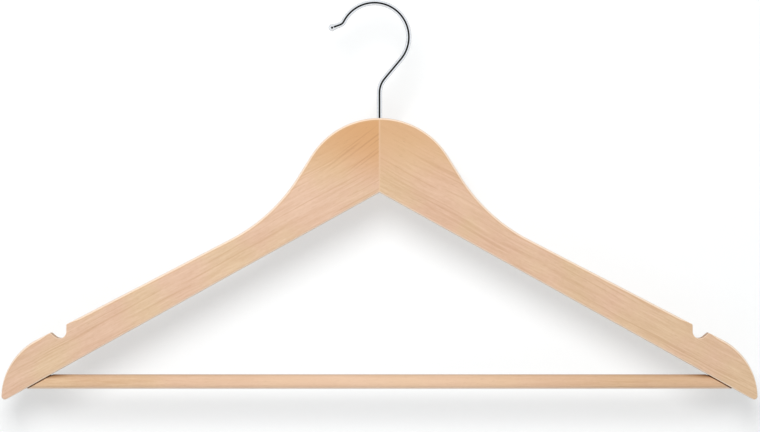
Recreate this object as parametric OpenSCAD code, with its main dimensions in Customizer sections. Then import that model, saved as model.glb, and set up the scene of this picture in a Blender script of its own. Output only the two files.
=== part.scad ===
// Wooden clothes hanger with a trouser bar and a swivelling wire hook.
// X runs along the width, Y through the thickness and Z up, as the hanger hangs.
// The origin is the place on the hook's inner side where a rail carries it, right above the shank.
// The two arms, the bar and the fixings are drawn from the top of the crown, at z = -rail_height.

/* [Arms] */
// Width over both arm tips
hanger_width = 445; // [400:1:470]
// Thickness of the board that the arms are cut from
board_thickness = 12; // [10:0.5:16]
// Radius of the rounded crown under the hook
crown_radius = 47.5; // [42:0.5:52]
// Height of the wood at the centre seam
crown_depth = 43.8; // [38:0.2:48]
// Steepest slope of the crown's flank, in degrees
flank_slope = 58; // [54:0.5:62]
// Radius of the hollow curve between the crown and the shoulder
shoulder_radius = 103; // [60:1:115]
// Slope of the straight shoulder, in degrees
shoulder_slope = 27.4; // [25:0.2:28]
// Depth below the crown's top where the shoulder's line would meet the centre seam
shoulder_drop = 25.9; // [22:0.1:28]
// Slope of the straight underside, in degrees
underside_slope = 29; // [28.4:0.2:30]
// Radius of the curve down to the arm's tip
end_radius = 38; // [30:1:45]
// Radius of the tip itself
tip_radius = 2; // [1:0.5:3]

/* [Strap notches] */
// Distance of each notch from the centre seam
notch_distance = 188.4; // [175:0.2:190]
// Radius of the notch's round bottom
notch_radius = 4.1; // [3:0.1:5]
// Depth of the notch's centre below the shoulder line
notch_sink = 2.1; // [0.4:0.1:2.6]
// Slope of the notch's outer side, in degrees
notch_lip_slope = 40; // [30:1:60]

/* [Centre joint] */
// Length of each interlocking finger
finger_length = 8; // [5:0.5:12]

/* [Trouser bar] */
// Diameter of the round bar
bar_diameter = 8.5; // [7:0.5:9]
// Depth of the bar's axis below the crown's top
bar_drop = 155.4; // [150:0.2:156]
// Depth of the blind socket, from the underside to the bar's end
bar_socket_depth = 9.5; // [7:0.5:11]

/* [Brads] */
// Diameter of a brad's shank
brad_diameter = 1.2; // [1:0.1:1.6]
// Diameter of a brad's head
brad_head_diameter = 2.2; // [1.8:0.1:2.6]
// Length of a brad with its head
brad_length = 9.5; // [8:0.5:9.5]

/* [Hook] */
// Diameter of the hook's wire
wire_diameter = 3; // [2.6:0.1:3.4]
// Radius of the bowl that goes over the rail, to the middle of the wire
bowl_radius = 20.3; // [19:0.1:23]
// Lean of the neck from the vertical, in degrees
neck_lean = 39.8; // [36:0.2:42]
// Radius of the bend between shank and neck
neck_radius = 13; // [10:0.5:15]
// Length of the neck's straight stretch
neck_length = 15; // [12:0.5:17]
// Height of the straight shank above the wood
shank_height = 15; // [12:0.5:18]
// Angle at which the bowl ends, counted from its right-hand side
bowl_end_angle = 153; // [145:1:160]
// Radius of the small outward bend before the bead
lip_radius = 4; // [3:0.5:5]
// Turn of the small outward bend, in degrees
lip_turn = 43; // [30:1:50]
// Distance from the end of the outward bend to the bead's centre
lip_length = 5; // [4:0.5:6]
// Diameter of the bead on the hook's open end
bead_diameter = 4; // [3.8:0.1:5]

/* [Hook fitting] */
// Outer diameter of the sleeve's body, without its barbs
sleeve_diameter = 5.2; // [4.8:0.1:5.6]
// Length of the sleeve
sleeve_length = 14; // [10:0.5:16]
// Depth of the sleeve's top below the wood
sleeve_sink = 0.6; // [0.4:0.1:1]
// How far each barb stands out from the sleeve
barb_height = 0.3; // [0.2:0.05:0.4]
// Number of barbs round the sleeve
barb_count = 5; // [3:1:6]
// Running clearance round the wire in the sleeve
running_clearance = 0.05; // [0.02:0.01:0.1]

/* [Hidden] */
$fn = 96;

natural_wood = [0.88, 0.74, 0.61];
pale_wood = [0.92, 0.79, 0.66];
steel = [0.62, 0.63, 0.65];
chrome = [0.82, 0.84, 0.87];

wire_sides = 24;          // facets round the wire in a preview
knuckle_rise = 0.03;      // how far the wire's knuckles stand out from it
reach = 30;               // how far cutting shapes run past what they cut
gusset_overlap = 1;       // how far a corner's filling or cut runs past its edges
arc_rise = 0.002;         // how much larger a corner's arc is than its radius
lip_overlap = 0.01;       // how far inside its round bottom the notch's outer side starts
half_width = hanger_width / 2;
layer_count = 5;          // layers through the board that the fingers share
layer_thickness = board_thickness / layer_count;
left_fingers = [1, 3];    // layers in which the left arm reaches past the seam
right_fingers = [2];      // layers in which the right arm does
brad_head_height = 0.8;   // height of a brad's flush head
head_step = 0.3;          // how far the wire's head stands in from the sleeve's outer face
barb_share = 0.6;         // part of the barbs' spacing that each barb takes

// Corners of the arm's outline before they are rounded, from the crown's top.
flank_start = crown_radius * tan(flank_slope / 2);
shoulder_start = (flank_start * tan(flank_slope) + shoulder_drop)
    / (tan(flank_slope) - tan(shoulder_slope));
function shoulder_line(x) = -shoulder_drop - x * tan(shoulder_slope);
function underside_line(x) = -crown_depth - x * tan(underside_slope);
crown_corner = [flank_start, 0];
shoulder_corner = [shoulder_start, shoulder_line(shoulder_start)];
end_corner = [half_width, shoulder_line(half_width)];
tip_corner = [half_width, underside_line(half_width)];

notch_centre = [notch_distance, shoulder_line(notch_distance) - notch_sink];
bar_entry = (bar_drop - crown_depth) / tan(underside_slope);
bar_end = bar_entry + bar_socket_depth;
brad_distance = bar_entry + bar_socket_depth / 2;

// Stations along the hook, from the crown's top.
function travel(angle) = [cos(angle), sin(angle)];
neck_direction = 90 - neck_lean;
neck_centre = [neck_radius, shank_height];
neck_foot = neck_centre + neck_radius * travel(180 - neck_lean);
neck_top = neck_foot + neck_length * travel(neck_direction);
bowl_centre = neck_top + bowl_radius * travel(neck_direction + 90);
bowl_end = bowl_centre + bowl_radius * travel(bowl_end_angle);
lip_centre = bowl_end + lip_radius * travel(bowl_end_angle);
lip_start_angle = bowl_end_angle + 180;
lip_foot = lip_centre + lip_radius * travel(lip_start_angle - lip_turn);
lip_direction = bowl_end_angle + 90 - lip_turn;
bead_centre = lip_foot + lip_length * travel(lip_direction);

// Height of the bowl's inner side above the shank: the origin lies there.
inner_radius = bowl_radius - wire_diameter / 2;
rail_height = bowl_centre[1] + sqrt(pow(inner_radius, 2) - pow(bowl_centre[0], 2));

// The wire's lower end is headed below the sleeve.
sleeve_bottom = -sleeve_sink - sleeve_length;
head_diameter = sleeve_diameter - 2 * head_step;
head_height = 1.6;
head_gap = 0.15;
head_top = sleeve_bottom - head_gap;
hole_bottom = head_top - head_height - head_gap;

// Puts what is drawn from the crown's top into the part's frame.
module hung() {
    translate([0, 0, -rail_height])
        children();
}

// Stands a flat outline up in the plane of the board, with the given thickness.
module board(thickness) {
    rotate([90, 0, 0])
        linear_extrude(height = thickness, center = true)
            children();
}

// The area between a corner and the arc that rounds it. The corner's two edges
// leave it at angles a and b. Taken away it rounds a corner, added it fills one.
// The arc is a hair larger, so that it crosses the edges and doesn't just touch them.
module corner_gusset(corner, a, b, radius) {
    half_angle = (b - a) / 2;
    inward = travel(a + half_angle);
    centre = corner + radius / sin(half_angle) * inward;
    outer_radius = radius + gusset_overlap;
    difference() {
        polygon([
            centre,
            centre + outer_radius * travel(a - 90),
            centre - outer_radius / sin(half_angle) * inward,
            centre + outer_radius * travel(b + 90)
        ]);
        translate(centre)
            circle(r = radius + arc_rise);
    }
}

// The strap notch: an upright inner side, a round bottom and an outer side that leans out.
module notch_outline() {
    inner_side = [-notch_radius, 0];
    outer_side = (notch_radius - lip_overlap) * travel(notch_lip_slope - 90);
    translate(notch_centre) {
        circle(r = notch_radius);
        polygon([
            inner_side,
            inner_side + [0, reach],
            outer_side + reach * travel(notch_lip_slope),
            outer_side
        ]);
    }
}

// Outline of one arm, from the centre seam to its tip.
module arm_outline() {
    difference() {
        union() {
            polygon([
                [0, 0],
                crown_corner,
                shoulder_corner,
                end_corner,
                tip_corner,
                [0, -crown_depth]
            ]);
            corner_gusset(shoulder_corner, -shoulder_slope, 180 - flank_slope, shoulder_radius);
        }
        corner_gusset(crown_corner, 180, 360 - flank_slope, crown_radius);
        corner_gusset(end_corner, 180 - shoulder_slope, 270, end_radius);
        corner_gusset(tip_corner, 90, 180 - underside_slope, tip_radius);
        notch_outline();
    }
}

// A block that cuts one layer of the board back from x1 to x2 at the centre joint.
module layer_block(layer, x1, x2) {
    translate([x1, -board_thickness / 2 + layer * layer_thickness, -crown_depth - reach])
        cube([x2 - x1, layer_thickness, crown_depth + 2 * reach]);
}

// An arm on the +X side. It keeps its wood past the seam in the layers of its own fingers,
// and is cut back in the layers of the other arm's fingers.
module arm_blank(own_fingers, other_fingers) {
    difference() {
        union() {
            board(board_thickness)
                arm_outline();
            for (layer = own_fingers)
                intersection() {
                    mirror([1, 0, 0])
                        board(board_thickness)
                            arm_outline();
                    layer_block(layer, -finger_length, 0);
                }
        }
        for (layer = other_fingers)
            layer_block(layer, -reach, finger_length);
    }
}

// Round hole along X for the bar's end on the +X side.
module bar_socket() {
    translate([0, 0, -bar_drop])
        rotate([0, 90, 0])
            cylinder(d = bar_diameter, h = bar_end);
}

// Brad on the +X side, driven in from the back, with its head flush.
module brad_shape() {
    translate([brad_distance, board_thickness / 2, -bar_drop])
        rotate([90, 0, 0]) {
            cylinder(d = brad_head_diameter, h = brad_head_height);
            cylinder(d = brad_diameter, h = brad_length);
        }
}

// Blind hole down the crown for the hook's fitting.
module hook_hole() {
    translate([0, 0, hole_bottom])
        cylinder(d = sleeve_diameter, h = -hole_bottom + reach);
}

module finished_arm(own_fingers, other_fingers) {
    difference() {
        arm_blank(own_fingers, other_fingers);
        bar_socket();
        brad_shape();
        hook_hole();
    }
}

module left_arm() {
    color(natural_wood)
        hung()
            mirror([1, 0, 0])
                finished_arm(left_fingers, right_fingers);
}

module right_arm() {
    color(pale_wood)
        hung()
            finished_arm(right_fingers, left_fingers);
}

module trouser_bar() {
    color(pale_wood)
        hung()
            difference() {
                translate([-bar_end, 0, -bar_drop])
                    rotate([0, 90, 0])
                        cylinder(d = bar_diameter, h = 2 * bar_end);
                brad_shape();
                mirror([1, 0, 0])
                    brad_shape();
            }
}

module bar_brad_left() {
    color(steel)
        hung()
            mirror([1, 0, 0])
                brad_shape();
}

module bar_brad_right() {
    color(steel)
        hung()
            brad_shape();
}

// Barbed sleeve. Each barb is a ring whose lower side slopes, so that it grips against pulling.
module hook_sleeve() {
    body_radius = sleeve_diameter / 2;
    bore_radius = wire_diameter / 2 + running_clearance;
    barb_pitch = sleeve_length / (barb_count + 1);
    barb_length = barb_pitch * barb_share;
    color(steel)
        hung()
            translate([0, 0, sleeve_bottom])
                rotate_extrude()
                    union() {
                        translate([bore_radius, 0])
                            square([body_radius - bore_radius, sleeve_length]);
                        for (i = [1 : barb_count])
                            translate([bore_radius, i * barb_pitch - barb_length])
                                polygon([
                                    [0, 0],
                                    [body_radius - bore_radius, 0],
                                    [body_radius - bore_radius + barb_height, barb_length],
                                    [0, barb_length]
                                ]);
                    }
}

// Straight stretch of wire between two points of the hook's plane.
module wire_straight(from, to) {
    run = to - from;
    translate([from[0], 0, from[1]])
        rotate([0, atan2(run[0], run[1]), 0])
            cylinder(d = wire_diameter, h = norm(run), $fn = wire_sides);
}

// Bent stretch of wire about a centre in the hook's plane, from one angle round to another.
module wire_bend(centre, radius, from_angle, to_angle) {
    translate([centre[0], 0, centre[1]])
        rotate([90, 0, 0])
            rotate([0, 0, from_angle])
                rotate_extrude(angle = to_angle - from_angle)
                    translate([radius, 0])
                        circle(d = wire_diameter, $fn = wire_sides);
}

// Ball a hair wider than the wire, which joins the two stretches that meet there.
module wire_knuckle(place) {
    translate([place[0], 0, place[1]])
        sphere(d = wire_diameter + 2 * knuckle_rise, $fn = wire_sides);
}

module hook_wire() {
    color(chrome)
        hung()
            union() {
                translate([0, 0, head_top - head_height])
                    cylinder(d = head_diameter, h = head_height);
                wire_straight([0, head_top - head_height], [0, shank_height]);
                wire_bend(neck_centre, neck_radius, 180 - neck_lean, 180);
                wire_straight(neck_foot, neck_top);
                wire_bend(bowl_centre, bowl_radius, -neck_lean, bowl_end_angle);
                wire_bend(lip_centre, lip_radius, lip_start_angle - lip_turn, lip_start_angle);
                wire_straight(lip_foot, bead_centre);
                for (place = [[0, shank_height], neck_foot, neck_top, bowl_end, lip_foot])
                    wire_knuckle(place);
            }
}

// Bead with a blind hole that is pressed on the wire's end.
module hook_bead() {
    color(chrome)
        hung()
            difference() {
                translate([bead_centre[0], 0, bead_centre[1]])
                    sphere(d = bead_diameter);
                wire_straight(lip_foot, bead_centre);
            }
}

left_arm();
right_arm();
trouser_bar();
bar_brad_left();
bar_brad_right();
hook_sleeve();
hook_wire();
hook_bead();
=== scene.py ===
import math

import bmesh
import bpy
from mathutils import Matrix, Vector
from mathutils.geometry import intersect_line_line_2d


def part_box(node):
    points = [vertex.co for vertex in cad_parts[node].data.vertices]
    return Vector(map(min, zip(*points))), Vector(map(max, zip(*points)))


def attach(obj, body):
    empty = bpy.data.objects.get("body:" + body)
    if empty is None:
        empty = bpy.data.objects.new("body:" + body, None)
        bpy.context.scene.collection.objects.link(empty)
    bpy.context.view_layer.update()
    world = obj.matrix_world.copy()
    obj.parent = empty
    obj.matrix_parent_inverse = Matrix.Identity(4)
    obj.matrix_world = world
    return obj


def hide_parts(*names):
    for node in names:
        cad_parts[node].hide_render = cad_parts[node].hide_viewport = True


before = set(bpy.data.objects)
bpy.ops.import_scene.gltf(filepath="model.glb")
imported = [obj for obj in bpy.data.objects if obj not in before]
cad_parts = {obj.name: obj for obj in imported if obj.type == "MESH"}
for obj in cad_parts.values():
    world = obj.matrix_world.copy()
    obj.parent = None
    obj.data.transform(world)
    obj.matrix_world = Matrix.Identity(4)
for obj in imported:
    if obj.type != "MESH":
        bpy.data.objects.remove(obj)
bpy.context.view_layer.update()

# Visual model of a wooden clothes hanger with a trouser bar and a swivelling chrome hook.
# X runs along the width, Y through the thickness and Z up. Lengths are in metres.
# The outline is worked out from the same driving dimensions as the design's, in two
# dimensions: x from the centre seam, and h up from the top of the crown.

MM = 0.001

# The wooden form.
CROWN_DEPTH = 43.8 * MM
CROWN_RADIUS = 47.5 * MM
FLANK_SLOPE = math.radians(58)
SHOULDER_RADIUS = 103 * MM
SHOULDER_SLOPE = math.radians(27.4)
SHOULDER_DROP = 25.9 * MM
UNDERSIDE_SLOPE = math.radians(29)
END_RADIUS = 38 * MM
TIP_RADIUS = 2 * MM

# The strap notch. Its outer side leaves the round bottom at LIP_SLOPE.
NOTCH_X = 188.4 * MM
NOTCH_RADIUS = 4.1 * MM
NOTCH_SINK = 2.1 * MM
NOTCH_CORNER_RADIUS = 1.0 * MM
LIP_SLOPE = math.radians(40)

# Round-over of the board's edges, where each kind of edge has its own radius. The radius
# changes over the two distances given, from the tip and from the notch. Points within
# LOWER_BAND of the underside have the lower edge's radius.
UPPER_EDGE = 2.0 * MM
LOWER_EDGE = 1.3 * MM
NOTCH_EDGE = 0.5 * MM
TIP_EDGE = 0.8 * MM
TIP_BLEND = (4 * MM, 34 * MM)
NOTCH_BLEND = (6.5 * MM, 14 * MM)
LOWER_BAND = 0.5 * MM
EDGE_STEPS = 6

# Spacing of the outline's points: on its straight stretches, on its arcs, and at the least.
OUTLINE_STEP = 3 * MM
ARC_STEP = 0.6 * MM
LEAST_GAP = 0.05 * MM

# The finger joint at the centre, and the fine groove where the faces meet.
FINGER_LENGTH = 8 * MM
LAYERS = 5
SEAM_CLEARANCE = 0.02 * MM
SEAM_GROOVE = 0.14 * MM
OVERHANG = 12 * MM
SEAM_CUT_REACH = 30 * MM

# Fixings and the trouser bar. The barbs bite into the sleeve's hole, and each cutter runs
# on well past the wood that it cuts.
SOCKET_GAP = 0.28 * MM
SOCKET_END_GAP = 0.3 * MM
GROOVE_WIDTH = 0.62 * MM
GROOVE_DEPTH = 0.35 * MM
BAR_EASE = 0.6 * MM
BRAD_RADIUS = 0.6 * MM
BRAD_HEAD_RADIUS = 1.1 * MM
BRAD_HEAD_HEIGHT = 0.8 * MM
BRAD_DOME = 0.18 * MM
BARBS = 5
BARB_DEPTH = 0.3 * MM
BARB_BITE = 0.25 * MM
FOOT_GAP = 0.2 * MM
FINE_BEVEL = 0.25 * MM
SOCKET_CUT = 60 * MM
BRAD_CUT = 20 * MM
BRAD_HEAD_CUT = 4 * MM
PAST_WOOD = 50 * MM

# The hook.
WIRE_RADIUS = 1.5 * MM
BOWL_RADIUS = 20.3 * MM
NECK_LEAN = math.radians(39.8)
NECK_RADIUS = 13 * MM
NECK_LENGTH = 15 * MM
SHANK_HEIGHT = 15 * MM
BOWL_END = math.radians(153)
LIP_RADIUS = 4 * MM
LIP_TURN = math.radians(43)
LIP_LENGTH = 5 * MM
WIRE_HEAD_RADIUS = 2.3 * MM
WIRE_HEAD_HEIGHT = 1.6 * MM
WIRE_STEP = 0.5 * MM
LIP_STEP = 0.3 * MM

# Facets closer in direction than this are shaded as one smooth surface.
SHARP_ANGLE = math.radians(40)

# Linear colours of the wood. The tones of a piece are the dark and the light of its grain,
# and a rosy and a yellow cast that wander over it.
LEFT_TONES = {"dark": (0.570, 0.375, 0.245), "light": (0.690, 0.500, 0.360),
              "rosy": (1.00, 0.965, 0.99), "yellow": (0.985, 1.01, 0.95)}
RIGHT_TONES = {"dark": (0.565, 0.372, 0.242), "light": (0.690, 0.496, 0.350),
               "rosy": (1.00, 0.960, 0.99), "yellow": (0.985, 1.01, 0.95)}
BAR_TONES = {"dark": (0.590, 0.380, 0.236), "light": (0.722, 0.512, 0.350),
             "rosy": (1.00, 0.975, 1.00), "yellow": (0.99, 1.00, 0.95)}
PORE_BROWN = (0.24, 0.12, 0.055, 1)
SEAM_PALE = (0.73, 0.51, 0.34, 1)
# Painted shade and painted highlight for the rounded edges of the arms.
EDGE_SHADE_BROWN = (0.560, 0.345, 0.190, 1)
EDGE_HIGHLIGHT = (0.850, 0.700, 0.560, 1)
RIGHT_CROWN_BROWN = (0.585, 0.355, 0.190, 1)
LEFT_CROWN_BROWN = (0.585, 0.340, 0.172, 1)
HEARTWOOD_BROWN = (0.560, 0.300, 0.130, 1)
HEARTWOOD_LINES = (0.330, 0.150, 0.055, 1)
BAR_MIDDLE_PALE = (0.745, 0.522, 0.368, 1)
BAR_RIGHT_BROWN = (0.545, 0.340, 0.190, 1)
# Painted shade for the bar's top and painted highlight for its underside.
BAR_TOP_SHADE = (0.420, 0.240, 0.125, 1)
BAR_UNDER_HIGHLIGHT = (0.950, 0.800, 0.680, 1)
# Painted shadow of the arms on the bar.
ARM_SHADOW_BROWN = (0.240, 0.100, 0.028, 1)
# Painted shade in the grooves where the bar enters the arms.
GAP_SHADE_BROWN = (0.200, 0.066, 0.016, 1)

# The run of the grain in the arms, and the steeper fan of the heartwood's lines.
GRAIN_SLOPE = math.radians(28.4)
FAN_SLOPE = math.radians(37)

# Colours of the metals.
CHROME = (0.87, 0.90, 0.94)
ZINC = (0.56, 0.56, 0.57)
BRIGHT_STEEL = (0.60, 0.61, 0.62)

# The studio: a glowing wall close behind the hanger, a floor below it and one round light.
# The reach and the depth of the papers are measured from the middle.
WALL_SHADE = (0.497, 0.504, 0.506)
WALL_GLOW = (0.413, 0.421, 0.426)
FLOOR_SHADE = (0.62, 0.62, 0.62)
WALL_GAP = 38 * MM
FLOOR_DROP = 70 * MM
PAPER_REACH = 2.2
PAPER_DEPTH = 2.6
WALL_TOP = 1.4
LIGHT_PLACE = (-0.12, -1.35, 0.45)
LIGHT_SIZE = 0.72
LIGHT_POWER = 18.6

# The camera, which looks along +Y from far enough to look almost parallel.
VIEW_WIDTH = 447 * MM
EYE_DISTANCE = 1.8
EYE_OFFSET = 0.3 * MM
EYE_DROP = 57.7 * MM
SENSOR_WIDTH = 36

# What the frame says.
arm_low, arm_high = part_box("right_arm")
bar_low, bar_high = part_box("trouser_bar")
bead_low, bead_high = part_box("hook_bead")
sleeve_low, sleeve_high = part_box("hook_sleeve")
wire_low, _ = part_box("hook_wire")
brad_low, brad_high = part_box("bar_brad_right")

CROWN_TOP = arm_high.z
HALF_WIDTH = arm_high.x
HALF_THICKNESS = arm_high.y
BAR_RADIUS = (bar_high.z - bar_low.z) / 2
BAR_HEIGHT = (bar_high.z + bar_low.z) / 2
BAR_END = bar_high.x
BEAD_RADIUS = (bead_high.z - bead_low.z) / 2
BRAD_X = (brad_low.x + brad_high.x) / 2


def heading(angle):
    """Unit vector at an angle from x towards h."""
    return Vector((math.cos(angle), math.sin(angle)))


def shoulder_line(x):
    """Height of the shoulder's straight stretch."""
    return -SHOULDER_DROP - x * math.tan(SHOULDER_SLOPE)


def underside_line(x):
    """Height of the arm's straight underside."""
    return -CROWN_DEPTH - x * math.tan(UNDERSIDE_SLOPE)


def smooth_step(value, low, high):
    """0 below low, 1 above high, and an even curve between them."""
    t = min(max((value - low) / (high - low), 0), 1)
    return t * t * (3 - 2 * t)


# Outline of an arm


def trim_crossing(first, second):
    """Ends one stretch and starts the next where they cross, if they do."""
    for i in range(len(first) - 1, 0, -1):
        for j in range(len(second) - 1):
            place = intersect_line_line_2d(first[i - 1], first[i], second[j], second[j + 1])
            if place:
                return first[:i], [place, *second[j + 1:]]
    return first, second


def thinned(points, gap):
    """Leaves out points that lie closer than gap to the one before."""
    kept = points[:1]
    for point in points[1:]:
        if (point - kept[-1]).length > gap:
            kept.append(point)
    return kept


def rounded_path(corners, step, arc_step):
    """Points along the corners, each given as x, h and the radius that rounds it."""
    points = []
    for i, (x, h, radius) in enumerate(corners):
        corner = Vector((x, h))
        if radius == 0:
            stretch = [corner]
        else:
            back = (Vector(corners[i - 1][:2]) - corner).normalized()
            ahead = (Vector(corners[i + 1][:2]) - corner).normalized()
            half_angle = back.angle(ahead) / 2
            centre = corner + (back + ahead).normalized() * radius / math.sin(half_angle)
            first = corner + back * radius / math.tan(half_angle) - centre
            sweep = (math.pi - 2 * half_angle) * math.copysign(1, back.cross(ahead))
            count = max(4, math.ceil(abs(sweep) * radius / arc_step))
            stretch = [
                centre + Matrix.Rotation(-sweep * k / count, 2) @ first
                for k in range(count + 1)
            ]
        if len(stretch) > 1:
            points, stretch = trim_crossing(points, stretch)
        if points:
            gap = stretch[0] - points[-1]
            pieces = max(1, round(gap.length / step))
            points += [points[-1] + gap * k / pieces for k in range(1, pieces)]
        points += stretch
    return thinned(points, LEAST_GAP)


def notch_corners():
    """Corners of the strap notch, from its inner side to its lip."""
    bottom = shoulder_line(NOTCH_X) - NOTCH_SINK - NOTCH_RADIUS
    inner_x = NOTCH_X - NOTCH_RADIUS
    outer_x = NOTCH_X + NOTCH_RADIUS * math.tan(LIP_SLOPE / 2)
    rise = (shoulder_line(outer_x) - bottom) / (math.tan(LIP_SLOPE) + math.tan(SHOULDER_SLOPE))
    lip_x = outer_x + rise
    return [
        (inner_x, shoulder_line(inner_x), NOTCH_CORNER_RADIUS),
        (inner_x, bottom, NOTCH_RADIUS),
        (outer_x, bottom, NOTCH_RADIUS),
        (lip_x, shoulder_line(lip_x), NOTCH_CORNER_RADIUS),
    ]


def arm_path():
    """The right arm's outline from the crown's top round to the underside of the seam.

    The crown's arc is a hair smaller than it could be, so that it starts clear of the seam.
    """
    flank_x = CROWN_RADIUS * math.tan(FLANK_SLOPE / 2)
    flank_rate, shoulder_rate = math.tan(FLANK_SLOPE), math.tan(SHOULDER_SLOPE)
    shoulder_x = (flank_x * flank_rate + SHOULDER_DROP) / (flank_rate - shoulder_rate)
    corners = [
        (0, 0, 0),
        (flank_x, 0, CROWN_RADIUS * 0.9999),
        (shoulder_x, shoulder_line(shoulder_x), SHOULDER_RADIUS),
        *notch_corners(),
        (HALF_WIDTH, shoulder_line(HALF_WIDTH), END_RADIUS),
        (HALF_WIDTH, underside_line(HALF_WIDTH), TIP_RADIUS),
        (0, underside_line(0), 0),
    ]
    return rounded_path(corners, OUTLINE_STEP, ARC_STEP)


def edge_radius(point):
    """Radius of the round-over at a point of the outline."""
    lower = point.y < underside_line(point.x) + LOWER_BAND
    notch_reach = math.hypot(point.x - NOTCH_X, point.y - shoulder_line(NOTCH_X))
    tip = Vector((HALF_WIDTH, underside_line(HALF_WIDTH)))
    plain = LOWER_EDGE if lower else UPPER_EDGE
    radius = TIP_EDGE + (plain - TIP_EDGE) * smooth_step((tip - point).length, *TIP_BLEND)
    if lower:
        return radius
    return NOTCH_EDGE + (radius - NOTCH_EDGE) * smooth_step(notch_reach, *NOTCH_BLEND)


def slab_mesh():
    """Closed board with rounded edges on the +X side, which also runs a little past the seam."""
    path = arm_path()
    crown = [p for p in path if p.x <= OVERHANG and p.y > -CROWN_DEPTH / 2]
    under = [p for p in path if p.x <= OVERHANG and p.y <= -CROWN_DEPTH / 2]
    path = ([Vector((-p.x, p.y)) for p in reversed(crown[1:])] + path
            + [Vector((-p.x, p.y)) for p in reversed(under[:-1])])
    count = len(path)

    # The way inwards at each point. At a corner it is longer, up to a limit.
    inward = []
    for i, point in enumerate(path):
        back = (point - path[i - 1]).normalized()
        ahead = (path[(i + 1) % count] - point).normalized()
        normal = Vector((back.y + ahead.y, -back.x - ahead.x)).normalized()
        inward.append(normal / max(normal.dot(Vector((ahead.y, -ahead.x))), 0.3))

    radii = [edge_radius(Vector((abs(p.x), p.y))) for p in path]
    profile = []
    for k in range(EDGE_STEPS + 1):
        turn = math.pi / 2 * k / EDGE_STEPS
        profile.append((1 - math.cos(turn), 1 - math.sin(turn)))
    rings = [(inset, depth, -1) for inset, depth in reversed(profile)]
    rings += [(inset, depth, 1) for inset, depth in profile]

    made = bmesh.new()
    loops = []
    for inset, depth, side in rings:
        loop = []
        for point, normal, radius in zip(path, inward, radii):
            x, h = point + normal * radius * inset
            y = side * (HALF_THICKNESS - radius * depth)
            loop.append(made.verts.new((x, y, CROWN_TOP + h)))
        loops.append(loop)
    for first, second in zip(loops, loops[1:]):
        for i in range(count):
            j = (i + 1) % count
            made.faces.new((first[i], first[j], second[j], second[i]))
    made.faces.new(reversed(loops[0]))
    made.faces.new(loops[-1])
    bmesh.ops.recalc_face_normals(made, faces=made.faces)
    return made


# Meshes, cuts and pieces


def prism(points, low, high):
    """Closed prism over points of the X-Y plane, from height low to height high."""
    made = bmesh.new()
    bottom = [made.verts.new((x, y, low)) for x, y in points]
    top = [made.verts.new((x, y, high)) for x, y in points]
    for i in range(len(points)):
        j = (i + 1) % len(points)
        made.faces.new((bottom[i], bottom[j], top[j], top[i]))
    made.faces.new(reversed(bottom))
    made.faces.new(top)
    bmesh.ops.recalc_face_normals(made, faces=made.faces)
    return made


def frame_of(axis):
    """Rotation that takes Z to an axis."""
    return Vector(axis).to_track_quat("Z", "Y").to_matrix().to_4x4()


def lathe(profile, place, axis, sides=48):
    """Closed body of revolution. The profile runs from one end of the axis to the other."""
    made = bmesh.new()
    loops = []
    for radius, height in profile:
        if radius == 0:
            loops.append([made.verts.new((0, 0, height))])
            continue
        loops.append([
            made.verts.new((radius * math.cos(a), radius * math.sin(a), height))
            for a in (2 * math.pi * k / sides for k in range(sides))
        ])
    for first, second in zip(loops, loops[1:]):
        for k in range(sides):
            j = (k + 1) % sides
            corners = [first[k % len(first)], first[j % len(first)],
                       second[j % len(second)], second[k % len(second)]]
            made.faces.new(list(dict.fromkeys(corners)))
    if len(loops[0]) > 1 and len(loops[-1]) > 1:
        for k in range(sides):
            j = (k + 1) % sides
            made.faces.new((loops[-1][k], loops[-1][j], loops[0][j], loops[0][k]))
    bmesh.ops.transform(made, matrix=Matrix.Translation(place) @ frame_of(axis), verts=made.verts)
    bmesh.ops.recalc_face_normals(made, faces=made.faces)
    return made


def bore(radius, run, place, axis):
    """Closed cylinder that cuts a bore from a place along an axis."""
    return lathe([(0, 0), (radius, 0), (radius, run), (0, run)], place, axis)


def object_of(name, made):
    """Turns a finished bmesh into an object of the scene."""
    mesh = bpy.data.meshes.new(name)
    made.to_mesh(mesh)
    made.free()
    piece = bpy.data.objects.new(name, mesh)
    bpy.context.scene.collection.objects.link(piece)
    return piece


def cut(piece, cutter_mesh):
    """Takes a closed mesh away from a piece."""
    cutter = object_of("cutter", cutter_mesh)
    modifier = piece.modifiers.new("cut", "BOOLEAN")
    modifier.operation = "DIFFERENCE"
    modifier.solver = "MANIFOLD"
    modifier.object = cutter
    settle(piece)
    bpy.data.objects.remove(cutter)


def settle(piece):
    """Applies every modifier of a piece."""
    graph = bpy.context.evaluated_depsgraph_get()
    mesh = bpy.data.meshes.new_from_object(piece.evaluated_get(graph))
    old = piece.data
    piece.modifiers.clear()
    piece.data = mesh
    mesh.name = piece.name
    bpy.data.meshes.remove(old)


def finish_piece(piece, body, material, slot, *nodes):
    """Shades a piece smoothly, gives it its material and ties it to the frame."""
    mesh = piece.data
    mesh.materials.clear()
    mesh.materials.append(material)
    mesh.shade_smooth()
    mesh.set_sharp_from_angle(angle=SHARP_ANGLE)
    weighted = piece.modifiers.new("even shading", "WEIGHTED_NORMAL")
    weighted.keep_sharp = True
    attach(piece, body)
    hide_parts(*nodes)
    return piece


# Materials


def node(tree, kind, inputs=(), **settings):
    """Adds a shader node. Inputs are values or the sockets to link."""
    made = tree.nodes.new("ShaderNode" + kind)
    for key, value in settings.items():
        setattr(made, key, value)
    for key, value in dict(inputs).items():
        socket = made.inputs[key]
        if isinstance(value, bpy.types.NodeSocket):
            tree.links.new(value, socket)
        else:
            socket.default_value = value
    return made


def calc(tree, operation, *values, clamp=False):
    """Adds a math node and gives its result."""
    inputs = dict(enumerate(values))
    return node(tree, "Math", inputs, operation=operation, use_clamp=clamp).outputs[0]


def product(tree, first, second):
    """Adds a node that multiplies, and gives its result."""
    return calc(tree, "MULTIPLY", first, second)


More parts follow.
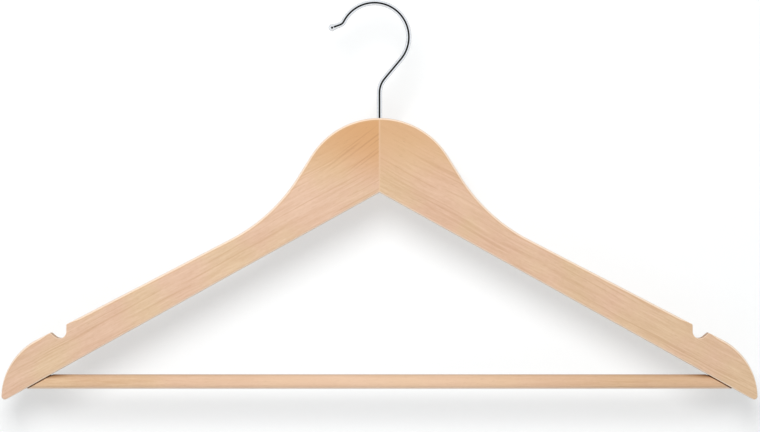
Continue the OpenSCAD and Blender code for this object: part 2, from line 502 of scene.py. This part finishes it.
def rising(tree, value, low, high, smooth=True):
    """0 below low, 1 above high."""
    made = node(tree, "MapRange", {"Value": value, "From Min": low, "From Max": high},
                interpolation_type="SMOOTHSTEP" if smooth else "LINEAR")
    return made.outputs["Result"]


def falling(tree, value, low, high):
    """1 below low, 0 above high."""
    return calc(tree, "SUBTRACT", 1.0, rising(tree, value, low, high))


def mix_colours(tree, factor, first, second, blend="MIX"):
    """Adds a mix node for colours. Each input is a value or the socket to link."""
    made = node(tree, "Mix", data_type="RGBA", blend_type=blend)
    for key, value in (("Factor_Float", factor), ("A_Color", first), ("B_Color", second)):
        socket = next(s for s in made.inputs if s.identifier == key)
        if isinstance(value, bpy.types.NodeSocket):
            tree.links.new(value, socket)
        else:
            socket.default_value = value
    return next(s for s in made.outputs if s.identifier == "Result_Color")


def toned(tree, colour, where, share, tone):
    """The colour, moved towards a tone by a share of the amount that where gives."""
    return mix_colours(tree, product(tree, where, share), colour, tone)


def new_material(name):
    """A material with its node tree and its shader."""
    material = bpy.data.materials.new(name)
    material.use_nodes = True
    tree = material.node_tree
    shader = tree.nodes["Principled BSDF"]
    return material, tree, shader


def grain_noise(tree, grain, stretch, detail, roughness=0.55):
    """Noise drawn out along the grain.

    The stretch is the number of features in a metre along, through and across the grain.
    """
    scaled = node(tree, "VectorMath", {0: grain, 1: stretch}, operation="MULTIPLY")
    made = node(tree, "TexNoise", {"Vector": scaled.outputs[0], "Scale": 1.0,
                                   "Detail": detail, "Roughness": roughness})
    return made.outputs["Fac"]


def wood_tone(tree, grain, place):
    """Light and dark of the grain, about 0.5 in the middle."""
    layers = (
        (grain_noise(tree, grain, (4, 40, 120), 2), 0.45),
        (grain_noise(tree, grain, (22, 380, 560), 4, 0.62), 0.90),
        (grain_noise(tree, grain, (90, 1300, 2000), 2, 0.5), 0.70),
        (grain_noise(tree, grain, (420, 700, 900), 2, 0.6), 0.38),
        (node(tree, "TexNoise", {"Vector": place, "Scale": 34.0, "Detail": 2.0}).outputs["Fac"],
         0.30),
    )
    tone = 0.5
    for layer, weight in layers:
        tone = calc(tree, "MULTIPLY_ADD", calc(tree, "SUBTRACT", layer, 0.5), weight, tone)
    lines = falling(tree, grain_noise(tree, grain, (12, 70, 900), 1, 0.4), 0.28, 0.38)
    return calc(tree, "MULTIPLY_ADD", lines, -0.42, tone, clamp=True)


def wood_material(name, tones, slope, shift, detail):
    """Pale lacquered wood whose grain runs at a slope, with fine streaks, lines and pores.

    The shift gives each piece its own stretch of grain. The detail adds what only one
    piece has.
    """
    material, tree, shader = new_material(name)
    place = node(tree, "TexCoord").outputs["Object"]
    turned = node(tree, "Mapping", {"Vector": place, "Rotation": (0, slope, 0),
                                    "Location": shift})
    grain = turned.outputs["Vector"]

    # The fibres wander a little across their run.
    wander = node(tree, "TexNoise", {"Vector": grain, "Scale": 14.0, "Detail": 2.0})
    off = node(tree, "VectorMath", {0: wander.outputs["Color"], 1: (0.5, 0.5, 0.5)},
               operation="SUBTRACT")
    off = node(tree, "VectorMath", {0: off.outputs[0], 1: (0, 4 * MM, 5 * MM)},
               operation="MULTIPLY")
    grain = node(tree, "VectorMath", {0: grain, 1: off.outputs[0]}, operation="ADD").outputs[0]

    tone = wood_tone(tree, grain, place)
    colour = mix_colours(tree, rising(tree, tone, 0.18, 0.82, smooth=False),
                         (*tones["dark"], 1), (*tones["light"], 1))
    cast = node(tree, "TexNoise", {"Vector": grain, "Scale": 26.0, "Detail": 3.0})
    cast = rising(tree, cast.outputs["Fac"], 0.36, 0.64)
    tint = mix_colours(tree, cast, (*tones["rosy"], 1), (*tones["yellow"], 1))
    colour = mix_colours(tree, 1.0, colour, tint, "MULTIPLY")
    colour = detail(tree, colour, place)
    pores = falling(tree, grain_noise(tree, grain, (240, 2600, 3600), 1, 0.4), 0.24, 0.34)
    colour = toned(tree, colour, pores, 0.22, PORE_BROWN)
    tree.links.new(colour, shader.inputs["Base Color"])

    # The lacquer is a little rougher over the pores, and dark colours, such as the painted shade
    # where the bar enters the arms, have no gloss.
    rough = calc(tree, "MULTIPLY_ADD", tone, -0.10, 0.44)
    rough = calc(tree, "MULTIPLY_ADD", pores, 0.14, rough)
    tree.links.new(rough, shader.inputs["Roughness"])
    brightness = node(tree, "RGBToBW", {"Color": colour}).outputs[0]
    gloss = product(tree, rising(tree, brightness, 0.03, 0.20), 0.4)
    tree.links.new(gloss, shader.inputs["Specular IOR Level"])
    height = calc(tree, "MULTIPLY_ADD", pores, -0.6, product(tree, tone, 0.4))
    bump = node(tree, "Bump", {"Height": height, "Strength": 0.35, "Distance": 0.06 * MM})
    tree.links.new(bump.outputs["Normal"], shader.inputs["Normal"])
    return material


def axes_of(tree, place):
    """The X, Y and Z of a place or a direction."""
    return node(tree, "SeparateXYZ", {"Vector": place}).outputs


def pale_seam(tree, colour, place):
    """The eased edges of the glued seam, which are paler than the wood beside them."""
    away = calc(tree, "ABSOLUTE", axes_of(tree, place)["X"])
    seam = falling(tree, away, 0.2 * MM, 0.7 * MM)
    return toned(tree, colour, seam, 0.52, SEAM_PALE)


def turned_away(tree):
    """How far the surface faces up, and how squarely it faces the front or the back."""
    axes = axes_of(tree, node(tree, "TexCoord").outputs["Normal"])
    return axes["Z"], calc(tree, "ABSOLUTE", axes["Y"])


def painted_edge_light(tree, colour):
    """Painted highlight on the rounded edges, with a line of painted shade inside the upper ones.
    """
    up, flat = turned_away(tree)
    # Painted shade: a browner line where the upper edges start to round over.
    inner = product(tree, rising(tree, up, 0.02, 0.12), rising(tree, flat, 0.90, 0.96))
    inner = product(tree, inner, falling(tree, flat, 0.985, 0.9995))
    colour = toned(tree, colour, inner, 0.5, EDGE_SHADE_BROWN)
    # Painted highlight: a paler band across the middle of the round-over, on every edge.
    band = product(tree, rising(tree, flat, 0.22, 0.40), falling(tree, flat, 0.80, 0.92))
    return toned(tree, colour, band, 0.80, EDGE_HIGHLIGHT)


def crown_tone(tree, colour, place, share, tone):
    """Wood that gets browner towards the top of the crown."""
    axes = axes_of(tree, place)
    upper = rising(tree, axes["Z"], CROWN_TOP - 48 * MM, CROWN_TOP - 3 * MM)
    return toned(tree, colour, upper, share, tone)


def right_arm_detail(tree, colour, place):
    """Plain wood that gets browner up the crown, with a paler seam and painted highlight and shade
    on its rounded edges.
    """
    colour = crown_tone(tree, colour, place, 0.88, RIGHT_CROWN_BROWN)
    return painted_edge_light(tree, pale_seam(tree, colour, place))


def left_arm_detail(tree, colour, place):
    """Heartwood next to the seam: browner wood with dark lines that fan out upwards, a paler seam,
    and painted highlight and shade on its rounded edges.
    """
    axes = axes_of(tree, place)
    colour = crown_tone(tree, colour, place, 0.95, LEFT_CROWN_BROWN)
    near = product(tree, rising(tree, axes["X"], -44 * MM, -2 * MM),
                   rising(tree, axes["Z"], CROWN_TOP - 40 * MM, CROWN_TOP - 16 * MM))
    colour = toned(tree, colour, near, 0.55, HEARTWOOD_BROWN)
    wide = product(tree, rising(tree, axes["X"], -56 * MM, -8 * MM),
                   rising(tree, axes["Z"], CROWN_TOP - 46 * MM, CROWN_TOP - 20 * MM))
    steep = node(tree, "Mapping", {"Vector": place, "Rotation": (0, FAN_SLOPE, 0)})
    for stretch, low, high, share in (((9, 60, 420), 0.30, 0.37, 0.42),
                                      ((14, 90, 900), 0.30, 0.40, 0.30)):
        lines = grain_noise(tree, steep.outputs["Vector"], stretch, 1, 0.4)
        lines = falling(tree, lines, low, high)
        colour = toned(tree, colour, lines, product(tree, wide, share), HEARTWOOD_LINES)
    return painted_edge_light(tree, pale_seam(tree, colour, place))


def bar_detail(tree, colour, place):
    """A bar that is paler in its middle, with painted shade on its top, a painted highlight
    underneath, and painted shadow and shade where it enters each arm.
    """
    axes = axes_of(tree, place)
    away = calc(tree, "ABSOLUTE", axes["X"])
    colour = toned(tree, colour, falling(tree, away, 30 * MM, 170 * MM), 0.65, BAR_MIDDLE_PALE)
    colour = toned(tree, colour, rising(tree, axes["X"], 20 * MM, 200 * MM), 0.5,
                   BAR_RIGHT_BROWN)

    # Painted shade and highlight: its top is a little darker and browner than its front, and its
    # underside paler.
    up, _ = turned_away(tree)
    even = calc(tree, "MULTIPLY_ADD", up, -0.12, 1.0)
    colour = mix_colours(tree, 1.0, colour, even, "MULTIPLY")
    colour = toned(tree, colour, rising(tree, up, 0.78, 0.97), 0.35, BAR_TOP_SHADE)
    down = product(tree, up, -1.0)
    colour = toned(tree, colour, rising(tree, down, 0.70, 0.97), 0.8, BAR_UNDER_HIGHLIGHT)

    # The gap is how far the surface lies below the arms' underside.
    under = calc(tree, "MULTIPLY_ADD", away, -math.tan(UNDERSIDE_SLOPE), CROWN_TOP - CROWN_DEPTH)
    gap = calc(tree, "SUBTRACT", under, axes["Z"])
    # Painted shadow of each arm on the top of the bar, fading out within 9.5 mm below the
    # underside.
    arm_shadow = product(tree, falling(tree, gap, 0.0, 9.5 * MM), rising(tree, up, 0.35, 0.98))
    colour = toned(tree, colour, arm_shadow, 0.9, ARM_SHADOW_BROWN)
    # Painted shade: near-black brown in the groove where the bar enters each arm.
    gap_shade = falling(tree, gap, GROOVE_WIDTH, GROOVE_WIDTH * 1.35)
    return toned(tree, colour, gap_shade, 0.97, GAP_SHADE_BROWN)


def steel_material(name, tint, roughness, scale):
    """Bright metal with faint marks. The scale says how fine they are."""
    material, tree, shader = new_material(name)
    place = node(tree, "TexCoord").outputs["Object"]
    marks = node(tree, "TexNoise", {"Vector": place, "Scale": scale, "Detail": 3.0})
    shade = node(tree, "ValToRGB", {"Fac": marks.outputs["Fac"]})
    darker = [c * 0.86 for c in tint]
    for stop, position, colour in zip(shade.color_ramp.elements, (0.3, 0.7), (darker, tint)):
        stop.position = position
        stop.color = (*colour, 1)
    tree.links.new(shade.outputs["Color"], shader.inputs["Base Color"])
    rough = calc(tree, "MULTIPLY_ADD", marks.outputs["Fac"], roughness * 0.5, roughness * 0.75)
    tree.links.new(rough, shader.inputs["Roughness"])
    shader.inputs["Metallic"].default_value = 1.0
    bump = node(tree, "Bump", {"Height": marks.outputs["Fac"], "Strength": 0.12,
                               "Distance": 0.02 * MM})
    tree.links.new(bump.outputs["Normal"], shader.inputs["Normal"])
    return material


# The arms


def joint_steps(side, other_x):
    """Plan of the finger joint: everything between its stepped line and other_x."""
    layer = 2 * HALF_THICKNESS / LAYERS
    out = HALF_THICKNESS * 2
    line = [(0, -out)]
    for k in range(LAYERS - 1):
        y = -HALF_THICKNESS + layer * (k + 1)
        before = 0 if k == 0 else FINGER_LENGTH * (1 if k % 2 else -1)
        after = 0 if k == LAYERS - 2 else FINGER_LENGTH * (-1 if k % 2 else 1)
        line += [(before, y), (after, y)]
    line.append((0, out))
    gap = SEAM_CLEARANCE * side
    line = [(x + gap, y) for x, y in line]
    return [(other_x, -out), *line, (other_x, out)]


def groove_seam(made):
    """Bevels the edges along the seam on both faces of the board."""
    reach = 0.05 * MM
    face = HALF_THICKNESS - 0.01 * MM
    seam = [
        e for e in made.edges
        if all(abs(v.co.x) < reach and abs(v.co.y) > face for v in e.verts)
    ]
    bmesh.ops.bevel(made, geom=seam, offset=SEAM_GROOVE, segments=1, affect="EDGES")


def arm(name, side, material, slot):
    """One arm. Side is 1 for the right arm and -1 for the left one."""
    made = slab_mesh()
    if side < 0:
        bmesh.ops.scale(made, vec=(-1, 1, 1), verts=made.verts)
        bmesh.ops.reverse_faces(made, faces=made.faces)
    piece = object_of(name + "_board", made)
    beyond_seam = joint_steps(side, -side * SEAM_CUT_REACH)
    cut(piece, prism(beyond_seam, arm_low.z - PAST_WOOD, CROWN_TOP + PAST_WOOD))
    socket_end = (side * (BAR_END + SOCKET_END_GAP), 0, BAR_HEIGHT)
    cut(piece, bore(BAR_RADIUS + SOCKET_GAP, SOCKET_CUT, socket_end, (-side, 0, 0)))
    sleeve_hole = (sleeve_high.x - sleeve_low.x) / 2 - BARB_BITE
    cut(piece, bore(sleeve_hole, PAST_WOOD, (0, 0, wire_low.z - FOOT_GAP), (0, 0, 1)))
    under_head = (side * BRAD_X, HALF_THICKNESS - BRAD_HEAD_HEIGHT, BAR_HEIGHT)
    cut(piece, bore(BRAD_HEAD_RADIUS * 1.06, BRAD_HEAD_CUT, under_head, (0, 1, 0)))
    point = (side * BRAD_X, brad_low.y, BAR_HEIGHT)
    cut(piece, bore(BRAD_RADIUS, BRAD_CUT, point, (0, 1, 0)))

    made = bmesh.new()
    made.from_mesh(piece.data)
    groove_seam(made)
    bmesh.ops.dissolve_degenerate(made, dist=1e-7, edges=made.edges)
    made.to_mesh(piece.data)
    made.free()
    return finish_piece(piece, "wood_frame", material, slot, name)


# The bar, the brads and the hook's fitting


def bar_groove(side):
    """Cutter for the fine groove round the bar, along the slanting mouth of the arm's socket."""
    rise = math.tan(UNDERSIDE_SLOPE)
    sides = 64
    made = bmesh.new()
    loops = []
    for radius in (BAR_RADIUS + 1 * MM, BAR_RADIUS - GROOVE_DEPTH):
        for drop in (-0.3 * MM, GROOVE_WIDTH):
            loop = []
            for k in range(sides):
                turn = 2 * math.pi * k / sides
                h = BAR_HEIGHT - CROWN_TOP + radius * math.sin(turn)
                x = (-CROWN_DEPTH - drop - h) / rise
                loop.append(made.verts.new((side * x, radius * math.cos(turn), CROWN_TOP + h)))
            loops.append(loop)
    for a, b in ((0, 1), (1, 3), (3, 2), (2, 0)):
        for k in range(sides):
            j = (k + 1) % sides
            made.faces.new((loops[a][k], loops[a][j], loops[b][j], loops[b][k]))
    bmesh.ops.recalc_face_normals(made, faces=made.faces)
    return made


def trouser_bar(material):
    """Round bar with eased ends."""
    run = 2 * BAR_END
    stretches = 60
    stretch = (run - 2 * BAR_EASE) / stretches
    profile = [(0, 0), (BAR_RADIUS - BAR_EASE, 0)]
    profile += [(BAR_RADIUS, BAR_EASE + stretch * k) for k in range(stretches + 1)]
    profile += [(BAR_RADIUS - BAR_EASE, run), (0, run)]
    piece = object_of("round_bar", lathe(profile, (-BAR_END, 0, BAR_HEIGHT), (1, 0, 0), 64))
    cut(piece, bar_groove(1))
    cut(piece, bar_groove(-1))
    return finish_piece(piece, "wood_frame", material, "bar_wood", "trouser_bar")


def brad(name, side, material):
    """Brad with a slightly domed head, flush with the back of the arm."""
    run = brad_high.y - brad_low.y
    neck = run - BRAD_HEAD_HEIGHT
    profile = [(0, 0), (BRAD_RADIUS * 0.35, 0.5 * MM), (BRAD_RADIUS, 1.4 * MM), (BRAD_RADIUS, neck)]
    profile += [(BRAD_HEAD_RADIUS, neck + FINE_BEVEL), (BRAD_HEAD_RADIUS, run - BRAD_DOME)]
    profile += [(BRAD_HEAD_RADIUS * 0.8, run - 0.3 * BRAD_DOME), (0, run)]
    place = (side * BRAD_X, brad_low.y, BAR_HEIGHT)
    piece = object_of(name + "_pin", lathe(profile, place, (0, 1, 0), 32))
    return finish_piece(piece, "wood_frame", material, "brad_steel", name)


def hook_sleeve(material):
    """Barbed sleeve with a chamfered mouth, in which the shank turns."""
    outer = (sleeve_high.x - sleeve_low.x) / 2
    body = outer - BARB_DEPTH
    inner = WIRE_RADIUS + 0.05 * MM
    run = sleeve_high.z - sleeve_low.z
    pitch = run / (BARBS + 1)
    chamfer = 0.3 * MM
    mouth = 0.35 * MM
    profile = [(inner, 0), (body - chamfer, 0), (body, 0.4 * MM)]
    for k in range(1, BARBS + 1):
        profile += [(body, (k - 0.55) * pitch), (outer, (k - 0.05) * pitch), (body, k * pitch)]
    profile += [(body, run - chamfer), (body - chamfer, run), (inner + mouth, run),
                (inner, run - mouth)]
    piece = object_of("barbed_sleeve", lathe(profile, (0, 0, sleeve_low.z), (0, 0, 1), 48))
    return finish_piece(piece, "wood_frame", material, "sleeve_steel", "hook_sleeve")


# The hook


def arc_points(centre, radius, start, turn, step):
    """Points along an arc that starts at one angle and turns by another."""
    count = max(6, math.ceil(abs(turn) * radius / step))
    return [centre + radius * heading(start + turn * k / count) for k in range(count + 1)]


def hook_route():
    """Centre line of the wire from the top of its straight shank to the bead's centre.

    It also gives the direction in which the wire enters the bead.
    """
    neck_centre = Vector((NECK_RADIUS, SHANK_HEIGHT))
    neck = arc_points(neck_centre, NECK_RADIUS, math.pi, -NECK_LEAN, WIRE_STEP)
    rise = heading(math.pi / 2 - NECK_LEAN)
    neck_top = neck[-1] + rise * NECK_LENGTH
    stretches = 8
    straight = [neck[-1] + rise * NECK_LENGTH * k / stretches for k in range(1, stretches)]
    bowl_centre = neck_top + BOWL_RADIUS * heading(math.pi - NECK_LEAN)
    bowl = arc_points(bowl_centre, BOWL_RADIUS, -NECK_LEAN, NECK_LEAN + BOWL_END, WIRE_STEP)
    lip_centre = bowl[-1] + LIP_RADIUS * heading(BOWL_END)
    lip = arc_points(lip_centre, LIP_RADIUS, BOWL_END + math.pi, -LIP_TURN, LIP_STEP)
    tail = heading(BOWL_END + math.pi / 2 - LIP_TURN)
    halfway = lip[-1] + tail * LIP_LENGTH * 0.5
    bead = lip[-1] + tail * LIP_LENGTH
    return neck + straight + bowl + lip[1:] + [halfway, bead], tail


def swept(route, radii, sides=32):
    """Closed tube of round section along points of the X-Z plane."""
    made = bmesh.new()
    loops = []
    for i, point in enumerate(route):
        back = route[max(i - 1, 0)]
        ahead = route[min(i + 1, len(route) - 1)]
        along = (ahead - back).normalized()
        aside = Vector((-along.y, along.x))
        loop = []
        for k in range(sides):
            turn = 2 * math.pi * k / sides
            x, h = point + aside * radii[i] * math.cos(turn)
            loop.append(made.verts.new((x, radii[i] * math.sin(turn), CROWN_TOP + h)))
        loops.append(loop)
    for first, second in zip(loops, loops[1:]):
        for k in range(sides):
            j = (k + 1) % sides
            made.faces.new((first[k], first[j], second[j], second[k]))
    made.faces.new(reversed(loops[0]))
    made.faces.new(loops[-1])
    bmesh.ops.recalc_face_normals(made, faces=made.faces)
    return made


def hook_wire(route, material):
    """The bent wire with its headed lower end."""
    foot = wire_low.z - CROWN_TOP
    head_top = foot + WIRE_HEAD_HEIGHT
    lower = [
        (foot, WIRE_HEAD_RADIUS - FINE_BEVEL),
        (foot + FINE_BEVEL, WIRE_HEAD_RADIUS),
        (head_top - FINE_BEVEL, WIRE_HEAD_RADIUS),
        (head_top, WIRE_HEAD_RADIUS - FINE_BEVEL),
        (head_top + 0.01 * MM, WIRE_RADIUS),
    ]
    stations = 14
    first = head_top + 1 * MM
    lower += [(first + (SHANK_HEIGHT - first) * k / stations, WIRE_RADIUS)
              for k in range(stations)]
    points = [Vector((0, h)) for h, _ in lower] + route
    radii = [r for _, r in lower] + [WIRE_RADIUS] * len(route)
    piece = object_of("bent_wire", swept(points, radii))
    return finish_piece(piece, "hook", material, "hook_chrome", "hook_wire")


def hook_bead(bead, tail, material):
    """Bead with a short collar, pressed on the wire's end."""
    inner = WIRE_RADIUS + 0.01 * MM
    collar = WIRE_RADIUS + 0.2 * MM
    collar_end = -BEAD_RADIUS * 0.98
    start = math.asin(collar / BEAD_RADIUS)
    profile = [(0, 0), (inner, 0), (inner, collar_end), (collar, collar_end),
               (collar, -BEAD_RADIUS * math.cos(start) - 0.02 * MM)]
    steps = 22
    for k in range(1, steps):
        turn = start + (math.pi - start) * k / steps
        profile.append((BEAD_RADIUS * math.sin(turn), -BEAD_RADIUS * math.cos(turn)))
    profile.append((0, BEAD_RADIUS))
    place = (bead.x, 0, CROWN_TOP + bead.y)
    piece = object_of("end_bead", lathe(profile, place, (tail.x, 0, tail.y), 40))
    return finish_piece(piece, "hook", material, "hook_chrome", "hook_bead")


# Stage, light and camera


def plane(name, corners, material):
    """Flat sheet of the studio, which mirrors don't show."""
    made = bmesh.new()
    made.faces.new([made.verts.new(c) for c in corners])
    piece = object_of(name, made)
    piece.data.materials.append(material)
    piece.visible_glossy = False


def paper_material(name, shade, glow=(0, 0, 0), one_sided=False):
    """Plain pale studio paper. It may glow, and one-sided paper doesn't show from behind."""
    material, tree, shader = new_material(name)
    shader.inputs["Base Color"].default_value = (*shade, 1)
    shader.inputs["Roughness"].default_value = 0.9
    shader.inputs["Specular IOR Level"].default_value = 0.1
    shader.inputs["Emission Color"].default_value = (*glow, 1)
    shader.inputs["Emission Strength"].default_value = 1.0 if any(glow) else 0.0
    if one_sided:
        behind = node(tree, "NewGeometry").outputs["Backfacing"]
        clear = node(tree, "BsdfTransparent")
        mixed = node(tree, "MixShader", {0: behind, 1: shader.outputs[0], 2: clear.outputs[0]})
        tree.links.new(mixed.outputs[0], tree.nodes["Material Output"].inputs["Surface"])
    return material


def round_light():
    """Round soft light aimed at the middle of the hanger, which mirrors don't show."""
    light = bpy.data.lights.new("key", "AREA")
    light.shape = "DISK"
    light.size = LIGHT_SIZE
    light.energy = LIGHT_POWER
    lamp = bpy.data.objects.new("key", light)
    lamp.location = LIGHT_PLACE
    middle = Vector((0, 0, (CROWN_TOP + arm_low.z) / 2))
    lamp.rotation_euler = (middle - Vector(LIGHT_PLACE)).to_track_quat("-Z", "Y").to_euler()
    lamp.visible_glossy = False
    bpy.context.scene.collection.objects.link(lamp)


def sky():
    """Soft light from above, with a dark front and a dim back for the chrome to mirror."""
    world = bpy.data.worlds.new("studio")
    bpy.context.scene.world = world
    world.use_nodes = True
    tree = world.node_tree
    background = tree.nodes["Background"]
    ray = node(tree, "LightPath").outputs
    way = axes_of(tree, node(tree, "TexCoord").outputs["Generated"])
    dome = product(tree, rising(tree, way["Z"], -0.15, 0.20), 0.42)
    front = rising(tree, way["Y"], -0.84, -0.66)
    back = calc(tree, "MULTIPLY_ADD", rising(tree, way["Y"], 0.70, 0.90), -0.85, 1.0)
    mirrored = calc(tree, "MULTIPLY_ADD", product(tree, front, back), 0.97, 0.012)
    soft = product(tree, ray["Is Diffuse Ray"], dome)
    glossy = product(tree, ray["Is Glossy Ray"], mirrored)
    strength = calc(tree, "ADD", calc(tree, "ADD", soft, glossy), ray["Is Camera Ray"])
    tree.links.new(strength, background.inputs["Strength"])
    background.inputs["Color"].default_value = (1, 1, 1, 1)


def studio():
    """Pale wall, pale floor, round light and sky."""
    floor_z = arm_low.z - FLOOR_DROP
    wall = paper_material("wall_paper", WALL_SHADE, glow=WALL_GLOW, one_sided=True)
    floor = paper_material("floor_paper", FLOOR_SHADE)
    plane("backdrop", [(-PAPER_REACH, WALL_GAP, floor_z), (PAPER_REACH, WALL_GAP, floor_z),
                       (PAPER_REACH, WALL_GAP, WALL_TOP), (-PAPER_REACH, WALL_GAP, WALL_TOP)],
          wall)
    plane("floor", [(-PAPER_REACH, -PAPER_DEPTH, floor_z), (PAPER_REACH, -PAPER_DEPTH, floor_z),
                    (PAPER_REACH, PAPER_DEPTH, floor_z), (-PAPER_REACH, PAPER_DEPTH, floor_z)],
          floor)
    round_light()
    sky()


def camera():
    """Looks along +Y at the whole hanger."""
    data = bpy.data.cameras.new("camera")
    data.sensor_width = SENSOR_WIDTH
    data.lens = SENSOR_WIDTH * EYE_DISTANCE / VIEW_WIDTH
    eye = bpy.data.objects.new("camera", data)
    eye.location = (EYE_OFFSET, -HALF_THICKNESS - EYE_DISTANCE, CROWN_TOP - EYE_DROP)
    eye.rotation_euler = (math.pi / 2, 0, 0)
    bpy.context.scene.collection.objects.link(eye)
    bpy.context.scene.camera = eye


def build():
    """Makes the materials and every piece of the hanger."""
    left_wood = wood_material("left_wood", LEFT_TONES, GRAIN_SLOPE, (0, 0, 0), left_arm_detail)
    right_wood = wood_material("right_wood", RIGHT_TONES, -GRAIN_SLOPE, (0.31, 0.17, 0.23),
                               right_arm_detail)
    bar_wood = wood_material("bar_wood", BAR_TONES, 0.0, (0.57, 0.41, 0.11), bar_detail)
    chrome = steel_material("hook_chrome", CHROME, roughness=0.03, scale=900.0)
    zinc = steel_material("sleeve_steel", ZINC, roughness=0.32, scale=2200.0)
    bright = steel_material("brad_steel", BRIGHT_STEEL, roughness=0.28, scale=2600.0)

    arm("left_arm", -1, left_wood, "left_wood")
    arm("right_arm", 1, right_wood, "right_wood")
    trouser_bar(bar_wood)
    brad("bar_brad_left", -1, bright)
    brad("bar_brad_right", 1, bright)
    hook_sleeve(zinc)
    route, tail = hook_route()
    hook_wire(route, chrome)
    hook_bead(route[-1], tail, chrome)


build()
studio()
camera()
bpy.context.scene.view_settings.view_transform = "Standard"
